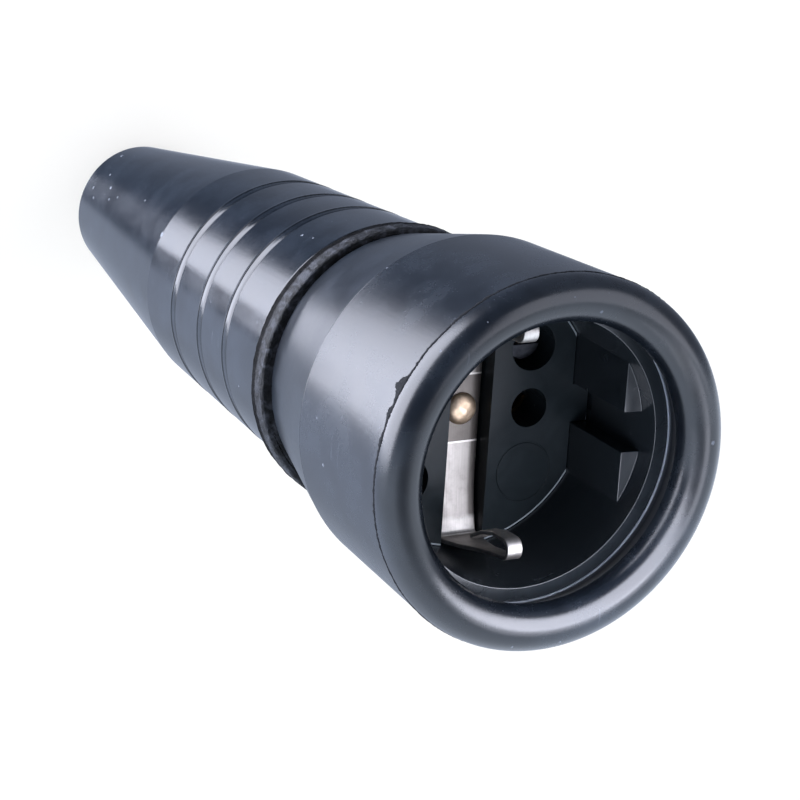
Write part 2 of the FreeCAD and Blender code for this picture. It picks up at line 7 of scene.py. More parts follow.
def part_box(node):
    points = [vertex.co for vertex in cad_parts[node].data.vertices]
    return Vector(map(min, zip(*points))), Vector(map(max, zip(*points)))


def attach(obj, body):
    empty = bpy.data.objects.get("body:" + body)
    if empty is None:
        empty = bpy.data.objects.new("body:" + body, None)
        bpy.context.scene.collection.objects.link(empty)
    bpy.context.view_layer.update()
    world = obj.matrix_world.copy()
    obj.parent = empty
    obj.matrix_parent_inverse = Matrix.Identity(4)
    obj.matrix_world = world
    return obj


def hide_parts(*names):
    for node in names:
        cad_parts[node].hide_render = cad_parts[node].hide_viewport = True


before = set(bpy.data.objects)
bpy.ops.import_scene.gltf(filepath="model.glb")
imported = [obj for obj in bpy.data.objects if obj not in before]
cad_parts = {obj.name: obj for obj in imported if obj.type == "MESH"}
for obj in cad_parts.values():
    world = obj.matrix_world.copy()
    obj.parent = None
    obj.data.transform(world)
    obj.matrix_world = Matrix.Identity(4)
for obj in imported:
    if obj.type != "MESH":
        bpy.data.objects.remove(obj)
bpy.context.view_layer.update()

# --- Contacts and wiring parts inside the housing -------------------------------------------
# Turned brass sleeves, a brass earth block and bushes, zinc-plated steel screws and springs.
# They sit in the contact base behind the recess and are seen only down the pin holes.


def linear(colour):
    """sRGB hex to linear RGBA: c / 12.92 up to 0.04045, above it ((c + 0.055) / 1.055) to the power 2.4."""
    c = np.array([int(colour[i:i + 2], 16) for i in (1, 3, 5)]) / 255
    return (*np.where(c <= 0.04045, c / 12.92, ((c + 0.055) / 1.055) ** 2.4).tolist(), 1.0)


def add(tree, kind, inputs=None, **settings):
    """Adds one node: settings are its own properties, inputs are sockets to link from or values to set."""
    node = tree.nodes.new(kind)
    for name, value in settings.items():
        setattr(node, name, value)
    for name, value in (inputs or {}).items():
        if isinstance(value, bpy.types.NodeSocket):
            tree.links.new(value, node.inputs[name])
        else:
            node.inputs[name].default_value = value
    return node


def finish(name, values):
    """A new material: its tree, its shader with the constant values set, and the Object coordinates."""
    material = bpy.data.materials.new(name)
    material.use_nodes = True
    tree = material.node_tree
    shader = tree.nodes["Principled BSDF"]
    for socket, value in values.items():
        shader.inputs[socket].default_value = value
    return material, tree, shader, add(tree, "ShaderNodeTexCoord").outputs["Object"]


def coat(tree, shader, tone, rough, relief):
    """Links the nodes that give a colour, a roughness and a relief to the shader."""
    tree.links.new(tone.outputs[2], shader.inputs["Base Color"])
    tree.links.new(rough.outputs[0], shader.inputs["Roughness"])
    tree.links.new(relief.outputs[0], shader.inputs["Normal"])


# Turned brass gone brown with age: a dark dull film in patches over lathe rings 0.3 mm apart.
turned_brass, tree, shader, place = finish("turned_brass", {"Metallic": 1.0})
film = add(tree, "ShaderNodeTexNoise", {"Vector": place, "Scale": 1 / 0.0012, "Detail": 4.0})
rings = add(tree, "ShaderNodeTexWave", {"Vector": place, "Scale": 1 / 0.00094, "Distortion": 0.6}, bands_direction="Z")
tone = add(tree, "ShaderNodeMix", {0: film.outputs[0], 6: linear("#6e5631"), 7: linear("#3c2e1b")}, data_type="RGBA")
dull = add(tree, "ShaderNodeMapRange", {"Value": film.outputs[0], "To Min": 0.4, "To Max": 0.65})
relief = add(tree, "ShaderNodeBump", {"Height": rings.outputs[1], "Strength": 0.4, "Distance": 0.00002})
coat(tree, shader, tone, dull, relief)

# Zinc-plated steel: bluish grey, satin, with a faint cloudy passivation about 1.5 mm across.
zinc_plated_steel, tree, shader, place = finish("zinc_plated_steel", {"Metallic": 1.0})
cloud = add(tree, "ShaderNodeTexNoise", {"Vector": place, "Scale": 1 / 0.0015, "Detail": 5.0})
grit = add(tree, "ShaderNodeTexNoise", {"Vector": place, "Scale": 1 / 0.00012, "Detail": 2.0})
tone = add(tree, "ShaderNodeMix", {0: cloud.outputs[0], 6: linear("#b9bdc2"), 7: linear("#8b8f98")}, data_type="RGBA")
satin = add(tree, "ShaderNodeMapRange", {"Value": cloud.outputs[0], "To Min": 0.24, "To Max": 0.46})
relief = add(tree, "ShaderNodeBump", {"Height": grit.outputs[0], "Strength": 0.25, "Distance": 0.00002})
coat(tree, shader, tone, satin, relief)


def thermoset(name, deep, pale, shine, rim=1.0):
    """Moulded thermoset: a hard near-black resin, deep to pale in faint flow clouds of 4 mm, with grit of 0.2 mm. The
    shine is its specular level, 0.5 for a mirror skin and less for a dulled one. Further than rim, in metres, from the
    axis its edge is painted pale as a highlight."""
    material, tree, shader, place = finish(name, {"IOR": 1.55, "Specular IOR Level": shine})
    flow = add(tree, "ShaderNodeTexNoise", {"Vector": place, "Scale": 1 / 0.004, "Detail": 4.0, "Distortion": 0.8})
    grit = add(tree, "ShaderNodeTexNoise", {"Vector": place, "Scale": 1 / 0.0002, "Detail": 3.0})
    tone = add(tree, "ShaderNodeMix", {0: flow.outputs[0], 6: linear(deep), 7: linear(pale)}, data_type="RGBA")
    across = add(tree, "ShaderNodeVectorMath", {0: place, 1: (1.0, 1.0, 0.0)}, operation="MULTIPLY")
    radius = add(tree, "ShaderNodeVectorMath", {0: across.outputs[0]}, operation="LENGTH")
    # Painted highlight: further than rim from the axis the colour turns pale grey.
    edge = add(tree, "ShaderNodeMath", {0: radius.outputs["Value"], 1: rim}, operation="GREATER_THAN")
    tone = add(tree, "ShaderNodeMix", {0: edge.outputs[0], 6: tone.outputs[2], 7: linear("#98a0a4")}, data_type="RGBA")
    skin = add(tree, "ShaderNodeMapRange", {"Value": flow.outputs[0], "To Min": 0.16, "To Max": 0.32})
    relief = add(tree, "ShaderNodeBump", {"Height": grit.outputs[0], "Strength": 0.12, "Distance": 0.00003})
    coat(tree, shader, tone, skin, relief)
    return material


# Thermoset as it leaves the polished mould: near-black and glassy, so that it shows the lamps as sharp lights.
moulded_thermoset = thermoset("moulded_thermoset", "#1a1e21", "#272c30", shine=0.5)
for material, names in (
    (turned_brass, ("line_contact", "neutral_contact", "earth_terminal", "upper_thread_bush", "lower_thread_bush")),
    (zinc_plated_steel, ("line_spring_ring", "neutral_spring_ring", "line_terminal_screw", "neutral_terminal_screw",
                         "earth_terminal_screw", "left_clamp_screw", "right_clamp_screw")),
    (moulded_thermoset, ("contact_base", "clamp_saddle")),
):
    for name in names:
        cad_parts[name].data.materials.clear()
        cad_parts[name].data.materials.append(material)

# --- Joint collar -----------------------------------------------------------------------------
# The hard ring that the two rubber mouldings are sprung onto, moulded in a cheap filled plastic.
# Its rim stands in the joint between them, unpolished, chalky and torn at the edge.

# Filled plastic left raw: a dull grey-black crumbly break with paler flecks about 1.4 mm long, and painted shade, near
# black and barely shiny, on the first 1.3 mm beside the hood, where the joint's gap lies.
raw_filled_plastic, tree, shader, place = finish("raw_filled_plastic", {"IOR": 1.5})
break_up = add(tree, "ShaderNodeTexNoise", {"Vector": place, "Scale": 1 / 0.0013, "Detail": 6.0, "Roughness": 0.7})
flecks = add(tree, "ShaderNodeTexNoise", {"Vector": place, "Scale": 1 / 0.0014, "Detail": 4.0, "Distortion": 0.8})
chalk = add(tree, "ShaderNodeMapRange", {"Value": flecks.outputs[0], "From Min": 0.4, "From Max": 0.7},
            interpolation_type="SMOOTHSTEP")
height = add(tree, "ShaderNodeSeparateXYZ", {0: place})
wavy = add(tree, "ShaderNodeMath", {0: break_up.outputs[0], 1: 0.0007, 2: height.outputs["Z"]},
           operation="MULTIPLY_ADD")
# Painted shade: below a wavy line about 85.7 mm up, beside the hood, the rim is near black and barely shiny.
open_part = add(tree, "ShaderNodeMapRange", {"Value": wavy.outputs[0], "From Min": 0.0857, "From Max": 0.0860})
tone = add(tree, "ShaderNodeMix", {0: chalk.outputs[0], 6: linear("#0c0d0f"), 7: linear("#323439")}, data_type="RGBA")
tone = add(tree, "ShaderNodeMix", {0: open_part.outputs[0], 6: linear("#050506"), 7: tone.outputs[2]}, data_type="RGBA")
shine = add(tree, "ShaderNodeMapRange", {"Value": open_part.outputs[0], "To Min": 0.05, "To Max": 0.2})
matt = add(tree, "ShaderNodeMapRange", {"Value": break_up.outputs[0], "To Min": 0.4, "To Max": 0.7})
relief = add(tree, "ShaderNodeBump", {"Height": break_up.outputs[0], "Strength": 1.0, "Distance": 0.0004})
tree.links.new(shine.outputs[0], shader.inputs["Specular IOR Level"])
coat(tree, shader, tone, matt, relief)

mm = 0.001


def rounded(corners, closed=True, turns=7, guard=0.12):
    """A profile in mm through corners (r, z, radius): each corner becomes an arc tangent to its two sides, whose
    ends lie radius / tan(half the corner's angle) from it, with one more point just outside each end so that the
    smooth shading of the arc does not spread over the flat. With these points a corner takes less than half of its
    shorter side, and one that is almost straight stays as it is."""
    straight, share, arc_share = 1.569, 0.45, 0.8
    points, radii = np.array([c[:2] for c in corners], float), [c[2] for c in corners]
    out = []
    for i, corner in enumerate(points):
        if not closed and i in (0, len(points) - 1):
            out.append(corner[None])
            continue
        before, after = points[i - 1] - corner, points[(i + 1) % len(points)] - corner
        room = share * min(np.linalg.norm(before), np.linalg.norm(after))
        before, after = before / np.linalg.norm(before), after / np.linalg.norm(after)
        half = 0.5 * np.arccos(np.clip(before @ after, -1, 1))
        if half > straight or radii[i] == 0:
            out.append(corner[None])
            continue
        reach = min(radii[i] / np.tan(half), room * arc_share)
        radius = reach * np.tan(half)
        centre = corner + (before + after) / np.linalg.norm(before + after) * radius / np.sin(half)
        sweep = (np.pi - 2 * half) * np.linspace(0, 1, turns)
        start = corner + before * reach - centre
        turn = -np.sign(before[0] * after[1] - before[1] * after[0])
        arc = centre + np.stack([start[0] * np.cos(sweep) - turn * start[1] * np.sin(sweep),
                                 turn * start[0] * np.sin(sweep) + start[1] * np.cos(sweep)], -1)
        margin = min(reach + guard, room)
        out.append(np.concatenate([(corner + before * margin)[None], arc, (corner + after * margin)[None]]))
    return np.concatenate(out)


def turned(profile, steps):
    """A grid in mm, steps by profile points: x = r cos(angle), y = r sin(angle), z as in the profile."""
    angle = np.arange(steps)[:, None] * 2 * np.pi / steps
    r, z = profile[None, :, 0], profile[None, :, 1]
    return np.stack([r * np.cos(angle), r * np.sin(angle), z + 0 * angle], -1)


def surface(name, grid, material, slot, ring_u=True, ring_v=True, **marks):
    """A smooth piece from a grid of points in mm: one quad between neighbours, joined round where a direction is a
    ring and closed by one flat face at each end where u is not. Its faces look outwards where u turns anticlockwise
    and v runs anticlockwise round the section. Each array in marks is kept as a point attribute that the material
    reads."""
    rows, columns = grid.shape[:2]
    index = np.arange(rows * columns).reshape(rows, columns)
    index = np.concatenate([index, index[:1]], 0) if ring_u else index
    index = np.concatenate([index, index[:, :1]], 1) if ring_v else index
    quads = np.stack([index[:-1, :-1], index[1:, :-1], index[1:, 1:], index[:-1, 1:]], -1).reshape(-1, 4)
    mesh = bpy.data.meshes.new(name)
    ends = [] if ring_u else [index[0, :columns].tolist(), index[-1, :columns][::-1].tolist()]
    mesh.from_pydata((grid.reshape(-1, 3) * mm).tolist(), [], quads.tolist() + ends)
    for mark, values in marks.items():
        mesh.attributes.new(mark, "FLOAT", "POINT").data.foreach_set("value", values.ravel().astype(np.float32))
    mesh.shade_smooth()
    mesh.materials.append(material)
    piece = bpy.data.objects.new(name, mesh)
    bpy.context.scene.collection.objects.link(piece)
    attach(piece, "root")
    return piece


def patches(across, along, cells, seed):
    """Random values from -1 to 1 on a coarse grid, a ring in the first direction, blended linearly onto a fine one."""
    coarse = np.random.default_rng(seed).random(cells) * 2 - 1
    coarse = np.concatenate([coarse, coarse[:1]])
    rows = np.linspace(0, cells[0], across, endpoint=False)
    columns = np.linspace(0, cells[1] - 1, along)
    i, j = rows.astype(int), np.minimum(columns.astype(int), cells[1] - 2)
    u, v = (rows - i)[:, None], (columns - j)[None]
    return ((1 - u) * (1 - v) * coarse[i][:, j] + u * (1 - v) * coarse[i + 1][:, j]
            + (1 - u) * v * coarse[i][:, j + 1] + u * v * coarse[i + 1][:, j + 1])


def merged(mesh, distance, flat=0.0):
    """Joins the mesh's points that lie closer than distance, then makes one face of those that turn less than flat."""
    shape = bmesh.new()
    shape.from_mesh(mesh)
    bmesh.ops.remove_doubles(shape, verts=shape.verts, dist=distance)
    if flat:
        bmesh.ops.dissolve_limit(shape, angle_limit=flat, verts=shape.verts, edges=shape.edges)
    shape.to_mesh(mesh)
    shape.free()


def eased(node, width, material, trim=None):
    """A copy of a solid with its triangles merged, its flat faces made whole and each edge over 30 degrees
    rounded by a bevel of the given width in mm. It stands for the solid. Trim moves the points (in mm) first."""
    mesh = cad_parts[node].data.copy()
    merged(mesh, 2e-6, 0.01)
    if trim:
        points = np.zeros(len(mesh.vertices) * 3, np.float32)
        mesh.vertices.foreach_get("co", points)
        mesh.vertices.foreach_set("co", (trim(points.reshape(-1, 3) * 1000) * mm).ravel())
    mesh.shade_smooth()
    mesh.materials.clear()
    mesh.materials.append(material)
    piece = bpy.data.objects.new(node + "_eased", mesh)
    bpy.context.scene.collection.objects.link(piece)
    edge = piece.modifiers.new("eased_edges", "BEVEL")
    edge.width, edge.segments, edge.limit_method, edge.angle_limit = width * mm, 3, "ANGLE", 0.52
    even = piece.modifiers.new("even_shading", "WEIGHTED_NORMAL")
    even.weight, even.keep_sharp = 100, False
    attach(piece, "root")
    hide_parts(node)


def under_rim(points):
    """The flange's edge points drawn in to a radius of 20.6 mm, so that the rough rim covers them."""
    flange_edge, flange_top, drawn_in = 21.2, 88.0, 20.6
    radius = np.hypot(points[:, 0], points[:, 1])
    edge = (radius > flange_edge) & (points[:, 2] < flange_top)
    points[edge, :2] *= drawn_in / radius[edge, None]
    return points


eased("joint_collar", 0.1, raw_filled_plastic, under_rim)
rim_steps = 1440
collar_rim = turned(rounded([(20.3, 84.15, 0.1), (21.2, 84.15, 0.7), (21.26, 87.65, 0.35), (20.3, 87.65, 0.1)],
                            turns=9, guard=0.5), rim_steps)
columns = collar_rim.shape[1]
crumbs = (0.4 * patches(rim_steps, columns, (300, 24), 3) + 0.5 * patches(rim_steps, columns, (110, 13), 4)
          + 0.4 * patches(rim_steps, columns, (36, 6), 5))
outside = np.clip((np.hypot(collar_rim[..., 0], collar_rim[..., 1]) - 20.8) / 0.3, 0, 1)
collar_rim[..., :2] *= (1 + outside * 0.006 * crumbs)[..., None]
# The loose rim hangs a little to one side in the joint.
collar_rim[..., :2] += (-0.2, -0.35)
surface("collar_rim", collar_rim, raw_filled_plastic, "collar_plastic")

# --- Recess cup -------------------------------------------------------------------------------
# The round socket recess with four thick guide pads, compression moulded in black thermoset.
# It is pressed into the front shell, whose groove holds the flange at its rim.


def lead_in(points):
    """The pads' top points lowered towards the axis, 0.25 mm over the pad's depth, as a slope that guides the plug."""
    wall, pad_top, pad_back, pad_deep, fall = 19.8, 123.6, 19.3, 2.75, 0.25
    inside = np.hypot(points[:, 0], points[:, 1]) < wall
    top = inside & (np.abs(points[:, 2] - pad_top) < 0.05)
    points[top, 2] -= fall * (pad_back - np.abs(points[top, 0])) / pad_deep
    return points


eased("recess_cup", 0.2, moulded_thermoset, lead_in)

# --- Contact plate ----------------------------------------------------------------------------
# The loose cover over the sleeves, moulded in the same thermoset, with two pin holes, two screw
# wells and a channel for the earth strip. Two screws draw it down onto the cup's floor.

# The same thermoset with a dulled skin: it stays dark beside the bright strip, and a thin pale line is painted on the
# plate's round edge as a highlight.
plate_thermoset = thermoset("moulded_thermoset_dull", "#181d1f", "#252b2e", shine=0.08, rim=0.01915)
eased("contact_plate", 0.1, plate_thermoset)

# Steel painted near black as the shade deep in the screw wells, with a little grey metal in patches about 1 mm across.
steel_painted_dark_as_shade, tree, shader, place = finish("steel_painted_dark_as_shade", {"Metallic": 1.0})
rubbed = add(tree, "ShaderNodeTexNoise", {"Vector": place, "Scale": 1 / 0.001, "Detail": 5.0, "Roughness": 0.6})
tone = add(tree, "ShaderNodeMix", {0: rubbed.outputs[0], 6: linear("#1c1d20"), 7: linear("#4b4d52")}, data_type="RGBA")
satin = add(tree, "ShaderNodeMapRange", {"Value": rubbed.outputs[0], "To Min": 0.5, "To Max": 0.3})
relief = add(tree, "ShaderNodeBump", {"Height": rubbed.outputs[0], "Strength": 0.2, "Distance": 0.00003})
coat(tree, shader, tone, satin, relief)

eased("upper_insert_screw", 0.12, steel_painted_dark_as_shade)
eased("lower_insert_screw", 0.12, steel_painted_dark_as_shade)

# --- Earth strip ------------------------------------------------------------------------------
# One spring strip of nickelled brass, 0.6 mm thick, bent into a clip at both ends. It lies in the
# plate's channel, riveted at its middle, and its two curled clips stand at the recess wall.

# Nickel plate, rolled and brushed: fine streaks along the strip, patches of tarnish, grey on the flat run and darker
# between the two faint folds beside the rivet, and bright silver on the clips. Painted shade darkens the flat run along
# one edge, and painted highlights lighten the two faint folds and the run near the lower bends.
nickelled_strip, tree, shader, place = finish("brushed_nickel_plate", {"Metallic": 1.0})
silver_and_highlight, tarnish_and_shade = linear("#e2ddd6"), linear("#4a4541")
along = add(tree, "ShaderNodeMapping", {"Vector": place, "Scale": (1.0, 0.03, 0.03)})
streak = add(tree, "ShaderNodeTexNoise", {"Vector": along.outputs[0], "Scale": 1 / 0.00016, "Detail": 3.0})
stain = add(tree, "ShaderNodeTexNoise", {"Vector": place, "Scale": 1 / 0.0022, "Detail": 5.0, "Roughness": 0.65})
worn = add(tree, "ShaderNodeMapRange", {"Value": stain.outputs[0], "From Min": 0.4, "From Max": 0.8, "To Max": 0.3},
           interpolation_type="SMOOTHSTEP")
spot = add(tree, "ShaderNodeSeparateXYZ", {0: place})
aside = add(tree, "ShaderNodeMath", {0: spot.outputs["Y"]}, operation="ABSOLUTE")
middle = add(tree, "ShaderNodeMapRange", {"Value": aside.outputs[0], "From Min": 0.0050, "From Max": 0.0048})
flat = add(tree, "ShaderNodeMapRange", {"Value": spot.outputs["Z"], "From Min": 0.1086, "From Max": 0.1078})
flat_run = add(tree, "ShaderNodeMix", {0: middle.outputs[0], 6: linear("#aca7a1"), 7: linear("#6e6964")},
               data_type="RGBA")
base = add(tree, "ShaderNodeMix", {0: flat.outputs[0], 6: silver_and_highlight, 7: flat_run.outputs[2]}, data_type="RGBA")
# Painted shade: the flat run turns towards the tarnish colour along its edge, from 1.7 to 2.2 mm across.
edge = add(tree, "ShaderNodeMapRange", {"Value": spot.outputs["X"], "From Min": 0.0017, "From Max": 0.0022,
                                        "To Max": 0.75})
edge = add(tree, "ShaderNodeMath", {0: edge.outputs[0], 1: flat.outputs[0]}, operation="MULTIPLY")
base = add(tree, "ShaderNodeMix", {0: edge.outputs[0], 6: base.outputs[2], 7: tarnish_and_shade}, data_type="RGBA")
# Painted highlight: the run is lightened from 15.6 to 16.4 mm out from the middle, near the lower bends.
bend_highlight = add(tree, "ShaderNodeMapRange", {"Value": aside.outputs[0], "From Min": 0.0156, "From Max": 0.0164})
base = add(tree, "ShaderNodeMix", {0: bend_highlight.outputs[0], 6: base.outputs[2], 7: linear("#cdc8c2")}, data_type="RGBA")
# Painted highlight: a thin silver line along each of the two faint folds, 4.97 mm out from the middle.
fold_highlight = add(tree, "ShaderNodeMath", {0: aside.outputs[0], 1: 0.00497, 2: 0.00013}, operation="COMPARE")
base = add(tree, "ShaderNodeMix", {0: fold_highlight.outputs[0], 6: base.outputs[2], 7: silver_and_highlight}, data_type="RGBA")
lines = add(tree, "ShaderNodeMath", {0: streak.outputs[0], 1: 0.28, 2: worn.outputs[0]}, operation="MULTIPLY_ADD")
tone = add(tree, "ShaderNodeMix", {0: lines.outputs[0], 6: base.outputs[2], 7: tarnish_and_shade}, data_type="RGBA")
sheen = add(tree, "ShaderNodeMapRange", {"Value": streak.outputs[0], "To Min": 0.42, "To Max": 0.56})
relief = add(tree, "ShaderNodeBump", {"Height": streak.outputs[0], "Strength": 0.12, "Distance": 0.00001})
coat(tree, shader, tone, sheen, relief)

strip_thick, strip_half, clip_half = 0.6, 3.05, 1.2
flat_level, bow_start, bow_level, bow_radius, curl_radius = 106.6, 9.0, 106.7, 33, 1.3
curl = np.linspace(0, np.pi, 30)[:, None]
bow = np.linspace(0, 0.2, 12)[:, None]
half_line = np.concatenate([
    rounded([(0.0, flat_level, 0), (4.9, flat_level, 0.5), (bow_start, bow_level, 0)], closed=False),
    np.concatenate([bow_start + bow_radius * np.sin(bow), bow_level + bow_radius * (1 - np.cos(bow))], 1)[1:],
    rounded([(15.8, 107.41, 0), (18.62, 108.1, 1.6), (18.2, 112.7, 3.0), (16.55, 122.6, 0)], closed=False, turns=12),
    np.concatenate([15.25 + curl_radius * np.cos(curl), 122.75 + curl_radius * np.sin(curl)], 1),
    rounded([(13.95, 122.6, 0), (14.05, 119.74, 3.0), (14.88, 116.82, 2.5), (16.35, 114.46, 0)], closed=False,
            turns=12)])
# The upper clip is bent a little further out than the lower one.
upper = half_line + np.interp(half_line[:, 1], [113.0, 122.0], [0.0, 0.9])[:, None] * (1, 0)
line = np.concatenate([half_line[:0:-1] * (-1, 1), upper])
run = np.concatenate([[0], np.cumsum(np.linalg.norm(np.diff(line, axis=0), axis=1))])
# Stations closer than 0.03 mm are dropped, because the faces between them have no clear direction.
even = np.unique(np.concatenate([run, np.linspace(0, run[-1], 260)]))
even = np.append(even[:-1][np.diff(even) > 0.03], run[-1])
line = np.stack([np.interp(even, run, line[:, i]) for i in (0, 1)], -1)
ahead = np.gradient(line, axis=0)
ahead /= np.linalg.norm(ahead, axis=1, keepdims=True)
across = np.interp(line[:, 1], [109.8, 117.3], [strip_half, clip_half])
# Both ends grow narrow and round over their last 0.7 mm.
from_end = np.minimum(even, even[-1] - even)
across = across * np.sqrt(np.clip(1 - (1 - np.clip(from_end / 0.7, 0, 1)) ** 2 * 0.75, 0, 1))


def swept_strip(line, ahead, across, thick, ease=0.14, turns=5):
    """A flat bar carried along a line in the YZ plane: at each point a rectangle, 2 across wide and thick high,
    its corners quarter circles of radius ease, stands square to the direction ahead."""
    quarter = np.linspace(0, np.pi / 2, turns)
    turn = np.concatenate([quarter + k * np.pi / 2 for k in range(4)])
    sx = np.repeat([1, -1, -1, 1], turns)
    sn = np.repeat([1, 1, -1, -1], turns)
    side = sx * (across[:, None] - ease) + ease * np.cos(turn)
    lift = sn * (thick / 2 - ease) + ease * np.sin(turn)
    normal = np.stack([-ahead[:, 1], ahead[:, 0]], -1)
    return np.stack([side, line[:, :1] + lift * normal[:, :1], line[:, 1:] + lift * normal[:, 1:]], -1)


bar = swept_strip(line, ahead, across, strip_thick)
# A smaller ring inside each end keeps the end face flat under smooth shading.
caps, inset = bar.mean(1, keepdims=True), 0.6
bar = np.concatenate([caps[:1] + inset * (bar[:1] - caps[:1]), bar, caps[-1:] + inset * (bar[-1:] - caps[-1:])])
strip = surface("earth_strip_bent", bar, nickelled_strip, "nickelled_strip", ring_u=False)
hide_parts("earth_strip")

# --- Earth rivet ------------------------------------------------------------------------------
# A soft brass rivet, peened over by hand or press, that fixes the strip to the plate at its middle.
# The closing blow leaves the dome slightly flat and dented.

# Peened brass: warm, satin, darker in the dents, with dents about 0.5 mm across.
peened_brass, tree, shader, place = finish("peened_brass", {"Metallic": 1.0})
dents = add(tree, "ShaderNodeTexNoise", {"Vector": place, "Scale": 1 / 0.0007, "Detail": 3.0, "Roughness": 0.55})
tone = add(tree, "ShaderNodeMix", {0: dents.outputs[0], 6: linear("#b89a7b"), 7: linear("#ecd8be")}, data_type="RGBA")
satin = add(tree, "ShaderNodeMapRange", {"Value": dents.outputs[0], "To Min": 0.56, "To Max": 0.42})
relief = add(tree, "ShaderNodeBump", {"Height": dents.outputs[0], "Strength": 0.5, "Distance": 0.00012})
coat(tree, shader, tone, satin, relief)

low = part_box("earth_rivet")[0].z * 1000
shank_radius, head_radius, head_seat, rivet_steps = 1.5, 2.34, 106.9, 96
dome = np.linspace(0, 1, 24) ** 0.8
dome = np.stack([head_radius * np.cos(dome * np.pi / 2), 106.95 + 1.2 * np.sin(dome * np.pi / 2) ** 0.9], -1)
shank = rounded([(0.0, low, 0), (shank_radius, low, 0.1), (shank_radius, head_seat, 0), (head_radius, head_seat, 0)],
                closed=False)
rivet = np.concatenate([shank, dome[1:]])
rivet[-1, 0] = 0.0
rivet = turned(rivet, rivet_steps)
on_head = np.clip((rivet[..., 2] - 107.1) / 0.4, 0, 1)
rivet[..., 2] -= on_head * 0.03 * (1 + np.sin(3.1 * rivet[..., 0] + 1.2) * np.sin(2.7 * rivet[..., 1] - 0.6))
rivet = surface("earth_rivet_peened", rivet, peened_brass, "brass", ring_v=False)
# Both ends of its profile lie on the axis, so the points there become one pole each.
merged(rivet.data, 1e-7)
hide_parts("earth_rivet")

# --- Front shell ------------------------------------------------------------------------------
# The socket's outer sleeve, moulded in black rubber with a thick round lip that cushions drops.
# It is sprung over the joint collar at its rear neck and grips the recess cup.


